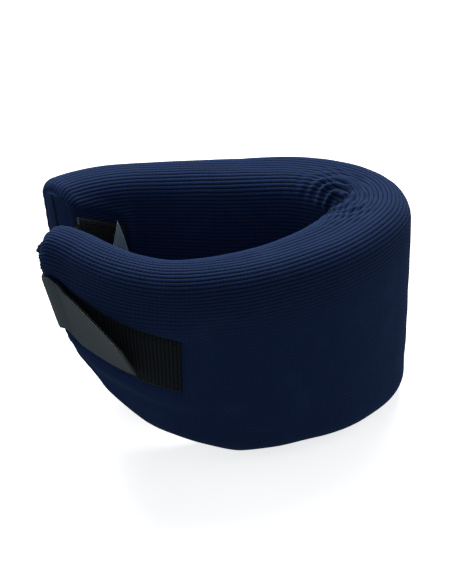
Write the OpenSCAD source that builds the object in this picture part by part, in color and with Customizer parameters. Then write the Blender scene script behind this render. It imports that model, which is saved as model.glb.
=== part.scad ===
// Soft cervical collar: a strip of foam in a ribbed knit cover, folded into a ring.
// A hook tape sewn inside the far end comes out between the two ends, goes round the near
// end and lies on the loop patch there.
// Millimetres. +X points to the fold, +Y to the far half and +Z up. The origin is below
// the middle of the outline, on the surface that the collar stands on.
// Places on the collar are given by s, the distance along its middle line from the near
// end, by o, the distance outwards from that line, and by z, the height.

/* [Collar] */
// Height of the collar at its fold
collar_h = 106; // [95:1:115]
// Height of the collar at each of its two ends
end_h = 71; // [62:1:85]
// How much higher the top edge stands at the ends than at the fold
end_lift = 6; // [0:0.5:10]
// Length of the near half, from its end to the fold
near_len = 157; // [130:1:185]
// Length of the far half, from the fold to its end
far_len = 143; // [120:1:170]
// Length of the tight fold between the two halves
fold_len = 23; // [18:0.5:28]
// Thickness of the foam strip at its ends
foam_t = 21.6; // [18:0.2:26]
// How much thicker the foam bunches up at the fold
fold_swell = 14; // [8:0.5:17]
// Radius of the rounded long edges
edge_r = 11; // [8:0.5:11.5]
// Radius of the rounded near end
near_tip_r = 9; // [8:0.5:11]
// Radius of the squarer far end
far_tip_r = 5; // [4:0.5:8]
// How far the top of the near end leans outwards
near_lean = 27; // [15:1:30]

/* [Cover] */
// Thickness of the knit cover
knit_t = 1; // [0.8:0.1:1.4]
// Gap between the foam and the cover
foam_gap = 0.2; // [0.1:0.1:0.4]
// Gap between the two halves at the fold
fold_gap = 0.4; // [0.3:0.1:0.8]
// Thickness of the gathered seam at each end
seam_d = 2.4; // [1.6:0.2:3]

/* [Closure] */
// Width of the loop patch and of the hook tape
tape_w = 30; // [24:1:34]
// Thickness of the loop patch
patch_t = 1.3; // [1:0.1:1.8]
// Distance from the near end to the start of the loop patch
patch_start = 11; // [9:0.5:14]
// Length of the loop patch
patch_len = 49; // [40:1:56]
// Thickness of the tape's woven back
back_t = 0.9; // [0.7:0.1:1.2]
// Thickness of the tape's hook face
hook_t = 0.9; // [0.6:0.1:1.2]
// Length of tape sewn to the far end
anchor_len = 30; // [24:1:40]
// Length of the loose end of the tape, past the bend round the near end
tail_len = 36; // [28:1:40]
// Angle that the loose end's top edge leans outwards at its tip
tail_lean = 28; // [15:1:40]
// Gap between sewn or hooked layers
layer_gap = 0.4; // [0.2:0.05:0.5]
// How much higher the patch and the tape run at the ends than the collar's own middle
tape_lift = 5; // [0:0.5:7]
// How much higher the tape runs than the patch
strap_lift = 6; // [0:0.5:8]
// Gap between the tape and the stitches of the patch under it
strap_gap = 0.4; // [0.3:0.1:0.8]
// Gap between lengths of tape that move on their own
bend_gap = 0.5; // [0.4:0.1:1]

/* [Stitches] */
// Length of one stitch
stitch_len = 2.2; // [1.6:0.1:3]
// Thickness of the sewing thread
thread_d = 0.5; // [0.4:0.1:0.7]
// Distance from one stitch to the next
stitch_pitch = 3.2; // [2.8:0.1:4]
// Distance from a tape's edge to its stitches
stitch_edge = 1.8; // [1.2:0.1:2.5]

/* [Hidden] */

NAVY = "#26344f";
FOAM = "#d9d2b8";
BLACK = "#17191c";
GREY = "#7d8a8c";

// Each bend is a share of a half's length and the angle that it turns, anticlockwise.
NEAR_BENDS = [[0.145, -21], [0.28, 52], [0.345, 26], [0.23, 26]];
FAR_BENDS = [[0.285, 44], [0.415, 3], [0.3, 37]];
start_heading = -23;
fold_turn = 80;
// The lower edge is flat on each side of the fold for this share of the half.
flat_share = 0.5;
rise_power = 1.15;
lean_power = 1.5;
tail_lean_power = 2.4;
swell_reach = 63;
// The foam's inner face stops this far short of the point that the fold turns about.
fold_room = 0.9;
squeeze_reach = 32;
// How far the foot of the near end is cut back, for each mm below its top.
end_slant = 0.14;
slant_reach = 45;
// The least rounding of a section's corners, and the least flat left between them
least_round = 0.3;
least_flat = 0.2;
corner_steps = 6;
tip_steps = 4;
body_steps = 20;
fold_steps = 6;
patch_steps = 16;
anchor_steps = 6;
wrap_steps = 5;
bridge_steps = 3;
tail_steps = 8;
seam_steps = 6;
seam_sides = 8;
thread_sides = 6;
// Gaps between things that touch: two layers of tape, and a thread and what it lies on
face_gap = 0.02;
thread_gap = 0.1;
tape_t = back_t + hook_t;
// Gap between the tape and the near end that it goes round
wrap_gap = layer_gap + patch_t + thread_gap + thread_d + strap_gap;
bends = concat([for (b = NEAR_BENDS) [b[0] * near_len, b[1]]], [[fold_len, fold_turn]],
               [for (b = FAR_BENDS) [b[0] * far_len, b[1]]]);
total_len = near_len + fold_len + far_len;
fold_s = near_len + fold_len / 2;

// A pose is [x, y, heading]. An arc of length len that turns by turn follows it.
function bend_pose(p, len, turn) =
    turn == 0
    ? [p[0] + len * cos(p[2]), p[1] + len * sin(p[2]), p[2]]
    : let (r = len / turn * 180 / PI, a = p[2] + turn)
      [p[0] + r * (sin(a) - sin(p[2])), p[1] - r * (cos(a) - cos(p[2])), a];
function walk(p, s, i = 0) =
    s <= bends[i][0] || i == len(bends) - 1
    ? bend_pose(p, s, bends[i][1] * s / bends[i][0])
    : walk(bend_pose(p, bends[i][0], bends[i][1]), s - bends[i][0], i + 1);
function raw_pose(s) = walk([0, 0, start_heading], s);

function is_near(s) = s < fold_s;
// 0 at the fold and 1 at either end
function reach(s) = is_near(s) ? (fold_s - s) / fold_s : (s - fold_s) / (total_len - fold_s);
function thickness(s) =
    foam_t + 2 * (knit_t + foam_gap) + fold_swell * exp(-pow((s - fold_s) / swell_reach, 2));
fold_squeeze = max(0, thickness(fold_s) / 2 + fold_room - fold_len / fold_turn * 180 / PI);
function inner_squeeze(s) = fold_squeeze * exp(-pow((s - fold_s) / squeeze_reach, 2));
function top_z(s) = collar_h + end_lift * pow(reach(s), 2);
function bottom_z(s) =
    (collar_h + end_lift - end_h)
    * pow(max(0, reach(s) - flat_share) / (1 - flat_share), rise_power);
function middle_z(s) = (top_z(s) + bottom_z(s)) / 2;
function lean(s, z) =
    is_near(s) ? near_lean * pow(reach(s), lean_power) * (z / collar_h - 0.5) : 0;
function slant(s, z) =
    end_slant * (top_z(0) - z) * max(0, 1 - min(s, total_len - s) / slant_reach)
    * (is_near(s) ? 1 : -1);

function outward(a) = [sin(a), -cos(a)];
function along(a) = [cos(a), sin(a)];
function raw_place(s, o, z) =
    let (p = raw_pose(s),
         q = [p[0], p[1]] + outward(p[2]) * (o + lean(s, z)) + along(p[2]) * slant(s, z))
    [q[0], q[1], z];

// A ring is the rounded section at s, made smaller all round by inset.
function section(s, inset) =
    let (w = thickness(s) / 2 - inset,
         z0 = bottom_z(s) + inset,
         z1 = top_z(s) - inset,
         r = max(least_round, min(edge_r - inset, w - inner_squeeze(s) - least_flat)))
    [for (k = [0:3], i = [0:corner_steps])
        let (a = 90 * (k + i / corner_steps),
             side = k == 0 || k == 3 ? w - r : inner_squeeze(s) + r - w,
             end = k < 2 ? z1 - r : z0 + r)
        [side + r * cos(a), end + r * sin(a)]];
function raw_ring(s, inset) = [for (q = section(s, inset)) raw_place(s, q[0], q[1])];
function rings_of(stations) = [for (t = stations) raw_ring(t[0], t[1])];

// Stations are [s, inset] pairs with s rising. A skin lies inset mm inside the cover.
function tip_stations(r, skin) =
    [for (k = [0:tip_steps - 1])
        let (a = 90 - 90 * k / tip_steps)
        [r - (r - skin) * sin(a), r - (r - skin) * cos(a)]];
function near_stations(skin) =
    concat(tip_stations(near_tip_r, skin),
           [for (k = [0:body_steps])
               [near_tip_r + (near_len - near_tip_r) * k / body_steps, skin]],
           [for (k = [1:fold_steps])
               [near_len + (fold_len - fold_gap) / 2 * k / fold_steps, skin]]);
function far_stations(skin) =
    concat([for (k = [fold_steps:-1:1])
               [total_len - far_len - (fold_len - fold_gap) / 2 * k / fold_steps, skin]],
           [for (k = [body_steps:-1:0])
               [total_len - far_tip_r - (far_len - far_tip_r) * k / body_steps, skin]],
           [for (k = [tip_steps - 1:-1:0])
               let (t = tip_stations(far_tip_r, skin)[k])
               [total_len - t[0], t[1]]]);

// The loop patch and the tape keep to this height, a little above the collar's own middle.
function tape_line(s) =
    let (end = is_near(s) ? s : total_len - s)
    middle_z(s) + tape_lift * max(0, 1 - end / (patch_start + patch_len));

// The tape leaves the far end, touches a circle round the near end and turns with it.
anchor_past = 1;
anchor_s = total_len + anchor_past;
anchor_o = thickness(anchor_s) / 2 + layer_gap + tape_t / 2;
wrap_r = thickness(near_tip_r) / 2 + wrap_gap + tape_t / 2;
tape_z = tape_line(near_tip_r) + strap_lift;
wrap_pose = raw_pose(near_tip_r);
wrap_centre = flat(raw_place(near_tip_r, 0, tape_z));
bridge_start = flat(raw_place(anchor_s, -anchor_o, tape_z));
to_centre = wrap_centre - bridge_start;
bridge_heading = atan2(to_centre[1], to_centre[0]) - asin(wrap_r / norm(to_centre));
bridge_len = sqrt(pow(norm(to_centre), 2) - pow(wrap_r, 2));
wrap_turn = wrap_pose[2] - bridge_heading;
// The bend about which the loose end peels is this share of the way round.
peel_share = 0.6;
peel_turn = wrap_turn * peel_share;
bend_gap_turn = bend_gap / wrap_r * 180 / PI;
// What the far end's slant, and the near end's lean and slant, move the tape by, for each
// mm of height
anchor_shear = along(raw_pose(anchor_s)[2]) * end_slant * (1 + anchor_past / slant_reach);
wrap_shear =
    outward(wrap_pose[2]) * near_lean / collar_h * pow(reach(near_tip_r), lean_power)
    - along(wrap_pose[2]) * end_slant * (1 - near_tip_r / slant_reach);

function flat(p) = [p[0], p[1]];
// A section of tape whose middle is at p in plan, from o0 to o1 out of its mid-plane.
function tape_ring(p, heading, shear, o0, o1) =
    [for (c = [[o0, -1], [o0, 1], [o1, 1], [o1, -1]])
        let (z = c[1] * tape_w / 2,
             q = p + outward(heading) * c[0] + shear * z)
        [q[0], q[1], tape_z + z]];
function wrap_ring(turn, o0, o1) =
    let (a = bridge_heading + turn)
    tape_ring(wrap_centre + outward(a) * wrap_r, a, wrap_shear, o0, o1);
function bridge_rings(o0, o1) =
    concat([for (k = [0:bridge_steps - 1])
               let (d = 2 * bend_gap + (bridge_len - 2 * bend_gap) * k / bridge_steps,
                    f = d / bridge_len)
               tape_ring(bridge_start + along(bridge_heading) * d, bridge_heading,
                         anchor_shear * (1 - f) + wrap_shear * f, o0, o1)],
           [for (k = [0:wrap_steps]) wrap_ring(peel_turn * k / wrap_steps, o0, o1)]);
// The loose end follows the patch on its foot, and its top edge leans out more and more.
function tail_ring(s, o0, o1) =
    let (tilt = tail_lean * pow((s - near_tip_r) / tail_len, tail_lean_power),
         foot_o = thickness(s) / 2 + wrap_gap + tape_t / 2,
         foot_z = tape_line(s) + strap_lift - tape_w / 2)
    [for (c = [[o0, 0], [o0, 1], [o1, 1], [o1, 0]])
        raw_place(s, foot_o + c[0] * cos(tilt) + c[1] * tape_w * sin(tilt),
                  foot_z - c[0] * sin(tilt) + c[1] * tape_w * cos(tilt))];
function tail_rings(o0, o1) =
    concat([for (k = [0:wrap_steps - 1])
               let (first = peel_turn + bend_gap_turn)
               wrap_ring(first + (wrap_turn - first) * k / wrap_steps, o0, o1)],
           [for (k = [0:tail_steps])
               tail_ring(near_tip_r + tail_len * k / tail_steps, o0, o1)]);

// The gathered ridge down the middle of an end, just clear of the cover.
function seam_rings(s, inset, clear) =
    let (z0 = bottom_z(s) + inset, z1 = top_z(s) - inset)
    [for (k = [0:seam_steps])
        [for (i = [0:seam_sides - 1])
            let (a = 360 * i / seam_sides)
            raw_place(s + clear + seam_d / 2 * cos(a), seam_d / 2 * sin(a),
                      z0 + (z1 - z0) * k / seam_steps)]];
seam_clear = seam_d / 2 + layer_gap;
near_seam = seam_rings(0, near_tip_r, -seam_clear);
far_seam = seam_rings(total_len, far_tip_r, seam_clear);

// The middle of the outline's box, which is the origin
outline = [for (r = concat(rings_of(near_stations(0)), rings_of(far_stations(0)), near_seam, far_seam,
                           bridge_rings(tape_t / 2, -tape_t / 2),
                           tail_rings(tape_t / 2, -tape_t / 2)))
              each r];
function middle(axis) =
    let (v = [for (p = outline) p[axis]]) (min(v) + max(v)) / 2;
origin = [middle(0), middle(1), 0];

// Triangles between neighbouring rings of n points, and fans that close the two ends. The
// diagonals of the two halves of a ring cross over, so that a thin tape's faces stay parallel.
function quad(a, b, c, d, cross, out) =
    let (pair = cross ? [[a, b, d], [a, d, c]] : [[a, b, c], [b, d, c]])
    [for (t = pair) out ? t : [t[0], t[2], t[1]]];
function sides(rows, n, first, out) =
    [for (i = [0:rows - 2], j = [0:n - 1])
        let (a = first + i * n + j, b = first + i * n + (j + 1) % n)
        each quad(a, b, a + n, b + n, j >= n / 2, out)];
function fan(n, first, out) =
    [for (j = [1:n - 2]) out ? [first, first + j + 1, first + j] : [first, first + j, first + j + 1]];

module sweep(rings) {
    n = len(rings[0]);
    rows = len(rings);
    polyhedron([for (r = rings, p = r) p - origin],
               concat(sides(rows, n, 0, true), fan(n, 0, true), fan(n, (rows - 1) * n, false)));
}

// A hollow skin, open where it is cut at the fold. The cut is at its last ring, or its first.
module shell(outer, inner, cut_last) {
    n = len(outer[0]);
    rows = len(outer);
    first = rows * n;
    cut = cut_last ? (rows - 1) * n : 0;
    shut = cut_last ? 0 : (rows - 1) * n;
    rim = [for (j = [0:n - 1])
              let (a = cut + j, b = cut + (j + 1) % n)
              each cut_last ? [[a, b, first + a], [b, first + b, first + a]]
                            : [[a, first + a, b], [b, first + a, first + b]]];
    polyhedron([for (r = concat(outer, inner), p = r) p - origin],
               concat(sides(rows, n, 0, true), sides(rows, n, first, false), rim,
                      fan(n, shut, cut_last), fan(n, first + shut, !cut_last)));
}

// A flat band on a face of the collar, from o0 to o1, centred on the tape's line.
function band_ring(s, o0, o1, w, lift) =
    let (z = tape_line(s) + lift)
    [raw_place(s, o0, z - w / 2), raw_place(s, o0, z + w / 2),
     raw_place(s, o1, z + w / 2), raw_place(s, o1, z - w / 2)];
module band(s0, s1, side, gap, t, w, lift, steps) {
    sweep([for (k = [0:steps])
              let (s = s0 + (s1 - s0) * k / steps,
                   o = side * (thickness(s) / 2 + gap + t / 2))
              band_ring(s, o + t / 2, o - t / 2, w, lift)]);
}

// One stitch: a short thread lying on a face at s and z, turned to run up the face or along it.
module stitch(s, side, gap, z, upright) {
    o = side * (thickness(s) / 2 + gap + thread_d / 2);
    a = raw_place(s - (upright ? 0 : stitch_len / 2), o, z - (upright ? stitch_len / 2 : 0));
    b = raw_place(s + (upright ? 0 : stitch_len / 2), o, z + (upright ? stitch_len / 2 : 0));
    d = b - a;
    translate(a - origin)
        rotate([0, acos(d[2] / norm(d)), atan2(d[1], d[0])])
            cylinder(h = norm(d), d = thread_d, $fn = thread_sides);
}
module stitch_box(s0, s1, side, gap, w, lift) {
    rows = floor((w - 2 * stitch_edge) / stitch_pitch);
    cols = floor((s1 - s0 - 2 * stitch_edge) / stitch_pitch);
    for (k = [0:cols], up = [-1, 1]) {
        s = (s0 + s1) / 2 + (k - cols / 2) * stitch_pitch;
        stitch(s, side, gap, tape_line(s) + lift + up * (w / 2 - stitch_edge), false);
    }
    for (k = [1:rows - 1], e = [s0 + stitch_edge, s1 - stitch_edge])
        stitch(e, side, gap, tape_line(e) + lift + (k - rows / 2) * stitch_pitch, true);
}

module foam_core_near() {
    color(FOAM) sweep(rings_of(near_stations(knit_t + foam_gap)));
}
module foam_core_far() {
    color(FOAM) sweep(rings_of(far_stations(knit_t + foam_gap)));
}
module knit_cover_near() {
    color(NAVY) shell(rings_of(near_stations(0)), rings_of(near_stations(knit_t)), true);
}
module knit_cover_far() {
    color(NAVY) shell(rings_of(far_stations(0)), rings_of(far_stations(knit_t)), false);
}
module near_end_seam() {
    color(NAVY) sweep(near_seam);
}
module far_end_seam() {
    color(NAVY) sweep(far_seam);
}
module loop_patch() {
    color(BLACK)
        band(patch_start, patch_start + patch_len, 1, layer_gap, patch_t, tape_w, 0, patch_steps);
}
module loop_patch_stitching() {
    color(BLACK)
        stitch_box(patch_start, patch_start + patch_len, 1, layer_gap + patch_t + thread_gap, tape_w, 0);
}
module strap_anchor() {
    color(BLACK)
        band(anchor_s - anchor_len, anchor_s, -1, layer_gap, tape_t, tape_w, strap_lift,
             anchor_steps);
}
module strap_anchor_stitching() {
    color(BLACK)
        stitch_box(anchor_s - anchor_len, anchor_s - 2 * stitch_edge, -1,
                   layer_gap + tape_t + thread_gap, tape_w, strap_lift);
}
module strap_bridge() {
    color(GREY) sweep(bridge_rings(tape_t / 2, -tape_t / 2));
}
module closure_strap() {
    color(GREY) sweep(tail_rings(tape_t / 2, hook_t - tape_t / 2));
}
module hook_field() {
    color(BLACK) sweep(tail_rings(hook_t - tape_t / 2 - face_gap, -tape_t / 2));
}

foam_core_near();
foam_core_far();
knit_cover_near();
knit_cover_far();
near_end_seam();
far_end_seam();
loop_patch();
loop_patch_stitching();
strap_anchor();
strap_anchor_stitching();
strap_bridge();
closure_strap();
hook_field();
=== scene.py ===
import math

import bmesh
import bpy
import numpy as np
from mathutils import Matrix, Vector, noise


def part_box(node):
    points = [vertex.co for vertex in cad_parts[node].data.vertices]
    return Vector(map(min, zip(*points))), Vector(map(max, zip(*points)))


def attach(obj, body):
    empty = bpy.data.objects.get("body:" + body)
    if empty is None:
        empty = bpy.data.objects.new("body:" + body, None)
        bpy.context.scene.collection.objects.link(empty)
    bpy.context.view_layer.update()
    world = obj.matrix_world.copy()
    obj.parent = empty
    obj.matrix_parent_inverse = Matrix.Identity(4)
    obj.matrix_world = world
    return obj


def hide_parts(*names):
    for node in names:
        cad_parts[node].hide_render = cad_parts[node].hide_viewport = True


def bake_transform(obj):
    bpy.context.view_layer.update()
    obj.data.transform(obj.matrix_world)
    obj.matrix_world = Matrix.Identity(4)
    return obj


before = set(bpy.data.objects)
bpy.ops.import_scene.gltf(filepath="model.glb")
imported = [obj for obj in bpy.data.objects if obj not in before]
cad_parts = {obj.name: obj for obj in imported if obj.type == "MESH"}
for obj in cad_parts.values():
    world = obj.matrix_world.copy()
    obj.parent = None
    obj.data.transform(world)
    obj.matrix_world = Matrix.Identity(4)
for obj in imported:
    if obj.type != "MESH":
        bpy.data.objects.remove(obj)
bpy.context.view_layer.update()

print("frame loaded")


# A soft cervical collar: a strip of foam in a ribbed knit cover, closed by a hook tape.
# Lengths are in metres and angles in degrees. A bend is a share of its half's length and
# the angle that it turns, anticlockwise from above.
collar = {
    "height": 0.106, "endHeight": 0.071, "endLift": 0.006,
    "nearLength": 0.157, "foldLength": 0.023, "farLength": 0.143,
    "thickness": 0.024, "foldSwell": 0.014, "swellReach": 0.063,
    "foldRoom": 0.0009, "squeezeReach": 0.032,
    "edgeRadius": 0.011, "nearTip": 0.009, "farTip": 0.005,
    "nearLean": 0.027, "leanPower": 1.5,
    "flatShare": 0.5, "risePower": 1.15, "riseSoftness": 0.0004,
    "endSlant": 0.14, "slantReach": 0.045,
    "startHeading": -23, "foldTurn": 80,
    "nearBends": [(0.145, -21), (0.28, 52), (0.345, 26), (0.23, 26)],
    "farBends": [(0.285, 44), (0.415, 3), (0.3, 37)],
}
bends = [(share * collar["nearLength"], turn) for share, turn in collar["nearBends"]]
bends += [(collar["foldLength"], collar["foldTurn"])]
bends += [(share * collar["farLength"], turn) for share, turn in collar["farBends"]]
totalLength = collar["nearLength"] + collar["foldLength"] + collar["farLength"]
foldPlace = collar["nearLength"] + collar["foldLength"] / 2
foldRadius = collar["foldLength"] / math.radians(collar["foldTurn"])


def poseAt(s):
    # plan place and heading of the middle line, s metres from the near end
    s = np.asarray(s, float)
    x, y = np.zeros(s.shape), np.zeros(s.shape)
    heading = np.full(s.shape, math.radians(collar["startHeading"]))
    start = 0.0
    for count, (length, turn) in enumerate(bends):
        low = -np.inf if count == 0 else 0
        high = np.inf if count == len(bends) - 1 else length
        step = np.clip(s - start, low, high)
        radius = length / math.radians(turn)
        after = heading + step / radius
        x = x + radius * (np.sin(after) - np.sin(heading))
        y = y - radius * (np.cos(after) - np.cos(heading))
        heading = after
        start += length
    return x, y, heading


def isNear(s):
    return s < foldPlace


def reachAt(s):
    return np.where(isNear(s), (foldPlace - s) / foldPlace, (s - foldPlace) / (totalLength - foldPlace))


def thicknessAt(s):
    return collar["thickness"] + collar["foldSwell"] * np.exp(-((s - foldPlace) / collar["swellReach"]) ** 2)


def squeezeAt(s):
    most = max(0, float(thicknessAt(foldPlace)) / 2 + collar["foldRoom"] - foldRadius)
    return most * np.exp(-((s - foldPlace) / collar["squeezeReach"]) ** 2)


def topAt(s):
    return collar["height"] + collar["endLift"] * reachAt(s) ** 2


def bottomAt(s):
    past = reachAt(s) - collar["flatShare"]
    rise = (past + np.sqrt(past ** 2 + collar["riseSoftness"])) / 2 / (1 - collar["flatShare"])
    return (collar["height"] + collar["endLift"] - collar["endHeight"]) * rise ** collar["risePower"]


def placeAt(s, o, z):
    # s along the middle line, o outwards from it, z up
    s, o, z = np.broadcast_arrays(np.asarray(s, float), o, z)
    x, y, heading = poseAt(s)
    lean = np.where(isNear(s), collar["nearLean"] * np.abs(reachAt(s)) ** collar["leanPower"]
                    * (z / collar["height"] - 0.5), 0)
    ends = np.minimum(s, totalLength - s)
    slant = collar["endSlant"] * (collar["height"] + collar["endLift"] - z)
    slant = slant * np.maximum(0, 1 - ends / collar["slantReach"]) * np.where(isNear(s), 1, -1)
    out = o + lean
    return np.stack([x + np.sin(heading) * out + np.cos(heading) * slant,
                     y - np.cos(heading) * out + np.sin(heading) * slant, z], axis=-1) + originShift


def smooth(value, low, high):
    t = np.clip((value - low) / (high - low), 0, 1)
    return t * t * (3 - 2 * t)


def hill(value, width):
    return np.exp(-(value / width) ** 2)


def cloudAt(points, size, seed):
    # smooth seeded noise, about -1 to 1, at each point
    flat = points.reshape(-1, 3) / size + seed
    return np.array([noise.noise(Vector(p)) for p in flat]).reshape(points.shape[:-1]) * 1.6


class Wire:
    # a shader socket that sums and products can be written with
    def __init__(self, paint, socket):
        self.paint, self.socket = paint, socket

    def sum(self, operation, first, second=0.0):
        return self.paint.node("ShaderNodeMath", {"operation": operation}, {0: first, 1: second})

    def __add__(self, other):
        return self.sum("ADD", self, other)

    def __sub__(self, other):
        return self.sum("SUBTRACT", self, other)

    def __rsub__(self, other):
        return self.sum("SUBTRACT", other, self)

    def __mul__(self, other):
        return self.sum("MULTIPLY", self, other)

    def __truediv__(self, other):
        return self.sum("DIVIDE", self, other)

    def __pow__(self, other):
        return self.sum("POWER", self, other)

    __radd__ = __add__
    __rmul__ = __mul__

    def fraction(self):
        return self.sum("FRACT", self)

    def size(self):
        return self.sum("ABSOLUTE", self)

    def whole(self):
        return self.sum("FLOOR", self)

    def fromMiddle(self):
        # 0 in the middle of each repeat and 1 at its edges
        return (self.fraction() - 0.5).size() * 2

    def ramp(self, low, high):
        return self.paint.node("ShaderNodeMapRange", {"interpolation_type": "SMOOTHSTEP"},
                               {"Value": self, "From Min": low, "From Max": high})


class Paint:
    # one material and the nodes in it
    def __init__(self, name):
        self.material = bpy.data.materials.new(name)
        self.material.use_nodes = True
        self.tree = self.material.node_tree
        self.shader = self.tree.nodes["Principled BSDF"]

    def node(self, kind, settings=None, inputs=None, output=0):
        made = self.tree.nodes.new(kind)
        for name, value in (settings or {}).items():
            setattr(made, name, value)
        for name, value in (inputs or {}).items():
            self.feed(made.inputs[name], value)
        return Wire(self, made.outputs[output])

    def feed(self, socket, value):
        if isinstance(value, Wire):
            self.tree.links.new(value.socket, socket)
        else:
            socket.default_value = value

    def cloth(self):
        # the piece's own cloth map: along it in metres, and across it
        mark = self.node("ShaderNodeUVMap", {"uv_map": "cloth"})
        along = self.node("ShaderNodeSeparateXYZ", inputs={0: mark})
        across = Wire(self, along.socket.node.outputs[1])
        return along, across

    def objectPlace(self):
        return self.node("ShaderNodeTexCoord", output=3)

    def speckle(self, size, detail=3.0):
        inputs = {"Vector": self.objectPlace(), "Scale": 1 / size, "Detail": detail}
        return self.node("ShaderNodeTexNoise", inputs=inputs)

    def blendColours(self, share, first, second):
        # a colour Mix node keeps its colours in inputs 6 and 7, and gives output 2
        return self.node("ShaderNodeMix", {"data_type": "RGBA"}, {0: share, 6: first, 7: second}, output=2)

    def relief(self, height, depth, strength):
        return self.node("ShaderNodeBump", inputs={"Height": height, "Distance": depth, "Strength": strength})

    def finish(self, colour, roughness, normal, sheen=0.0, sheenTint=(1, 1, 1, 1), gloss=0.3):
        self.feed(self.shader.inputs["Base Color"], colour)
        self.feed(self.shader.inputs["Roughness"], roughness)
        self.feed(self.shader.inputs["Normal"], normal)
        self.shader.inputs["Sheen Weight"].default_value = sheen
        self.shader.inputs["Sheen Roughness"].default_value = 0.45
        self.shader.inputs["Sheen Tint"].default_value = sheenTint
        self.shader.inputs["Specular IOR Level"].default_value = gloss
        return self.material


knitLook = {
    # deep is the painted shade colour for the rib grooves and the loop hollows
    "deep": (0.0022, 0.0048, 0.016, 1),
    "body": (0.0128, 0.033, 0.112, 1),
    # a lighter navy, partly wear and partly a painted highlight on the rib crests
    "wornAndHighlit": (0.036, 0.074, 0.18, 1),
    "stitchLength": 0.0014, "stitchRelief": 0.00028, "fuzz": 0.0006, "patches": 0.02,
    "sheen": 0.12, "sheenTint": (0.35, 0.6, 1, 1),
}


def ribbedKnit():
    look = knitLook
    paint = Paint("navyRibbedKnit")
    along, across = paint.cloth()
    # how deep the ribs are here, which sets how much painted shade goes into their grooves
    depth = paint.node("ShaderNodeAttribute", {"attribute_name": "ribShadeDepth"}, output=2)
    fromMiddle = across.fromMiddle()
    groove = fromMiddle.ramp(0.55, 1.0) * depth
    # the two legs of each knitted loop lean towards the middle of the rib
    loops = (along / look["stitchLength"] + fromMiddle * 0.55).fromMiddle()
    fuzz = paint.speckle(look["fuzz"])
    patchy = paint.speckle(look["patches"], 2.0)
    # painted shade: the rib grooves, as deep as their ribs, and the hollows between the knitted loops are
    # darkened towards the deep colour
    shade = groove * 0.95 + loops.ramp(0.55, 1.0) * 0.34 + (fuzz - 0.5) * 0.8
    colour = paint.blendColours(shade.ramp(-0.12, 0.95), look["body"], look["deep"])
    # lighter fibres on the fuzz and in patches, kept off the grooves: partly wear, partly a painted highlight
    # on the rib crests
    wearAndHighlight = (patchy.ramp(0.52, 0.75) * 0.16 + fuzz.ramp(0.5, 0.72) * 0.42) * (1 - groove)
    colour = paint.blendColours(wearAndHighlight, colour, look["wornAndHighlit"])
    height = (1 - loops) * 0.6 + fuzz * 0.7 - groove * 0.8
    normal = paint.relief(height, look["stitchRelief"], 0.6)
    return paint.finish(colour, 0.88 + fuzz * 0.1, normal, look["sheen"], look["sheenTint"], 0.15)


seamLook = {
    "deep": (0.003, 0.006, 0.018, 1), "body": (0.012, 0.026, 0.078, 1),
    "pitch": 0.0016, "fuzz": 0.0006, "relief": 0.0004,
}


def gatheredSeam():
    look = seamLook
    paint = Paint("navyGatheredSeam")
    along, across = paint.cloth()
    turns = (along / look["pitch"] + across * 3).fromMiddle()
    fuzz = paint.speckle(look["fuzz"])
    shade = (turns.ramp(0.4, 1.0) * 0.7 + fuzz * 0.3).ramp(0, 1)
    colour = paint.blendColours(shade, look["body"], look["deep"])
    normal = paint.relief(fuzz * 0.5 - turns, look["relief"], 0.8)
    return paint.finish(colour, 0.9 + fuzz * 0.08, normal, 0.1, knitLook["sheenTint"], 0.15)


foamLook = {
    "light": (0.76, 0.7, 0.5, 1), "dark": (0.5, 0.44, 0.28, 1),
    "cell": 0.0012, "stain": 0.03, "relief": 0.0005,
}


def openFoam():
    look = foamLook
    paint = Paint("collarFoam")
    inputs = {"Vector": paint.objectPlace(), "Scale": 1 / look["cell"]}
    cells = paint.node("ShaderNodeTexVoronoi", {"feature": "F1"}, inputs)
    stain = paint.speckle(look["stain"])
    colour = paint.blendColours((cells * 0.8 + stain * 0.4).ramp(0.2, 1), look["light"], look["dark"])
    return paint.finish(colour, 0.8 + stain * 0.15, paint.relief(cells, look["relief"], 0.9), 0.1)


tapeLook = {
    "light": (0.15, 0.19, 0.20, 1), "dark": (0.06, 0.082, 0.09, 1), "grime": (0.07, 0.085, 0.085, 1),
    "warp": 0.0008, "weft": 0.0007, "fuzz": 0.0005, "soil": 0.011, "relief": 0.00018,
}


def wovenTape(name, look):
    paint = Paint(name)
    along, across = paint.cloth()
    threads = across / look["warp"]
    warp = threads.fromMiddle()
    # each second row of the weave steps half a thread along
    weft = (along / look["weft"] + threads.whole() * 0.5).fromMiddle()
    knots = (1 - warp) * (1 - weft)
    fuzz = paint.speckle(look["fuzz"])
    soil = paint.speckle(look["soil"])
    shade = (knots * 1.3 + (fuzz - 0.5) * 0.5).ramp(0.05, 0.75)
    colour = paint.blendColours(shade, look["dark"], look["light"])
    colour = paint.blendColours(soil.ramp(0.55, 0.8) * 0.3, colour, look["grime"])
    normal = paint.relief(knots + fuzz * 0.2, look["relief"], 0.8)
    return paint.finish(colour, 0.72 + fuzz * 0.2, normal, 0.12, (1, 1, 1, 1), 0.3)


# a copy of the grey tape, painted several times lighter for the sewn end's folded corner: painted light on
# that corner
litTapeLook = dict(tapeLook)
litTapeLook["light"] = (0.62, 0.76, 0.82, 1)
litTapeLook["dark"] = (0.3, 0.38, 0.42, 1)
litTapeLook["grime"] = (0.3, 0.36, 0.38, 1)

hookLook = {
    "tip": (0.03, 0.032, 0.035, 1), "ground": (0.005, 0.0052, 0.0055, 1),
    "pitch": 0.0013, "fuzz": 0.0006, "relief": 0.0006,
}


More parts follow.
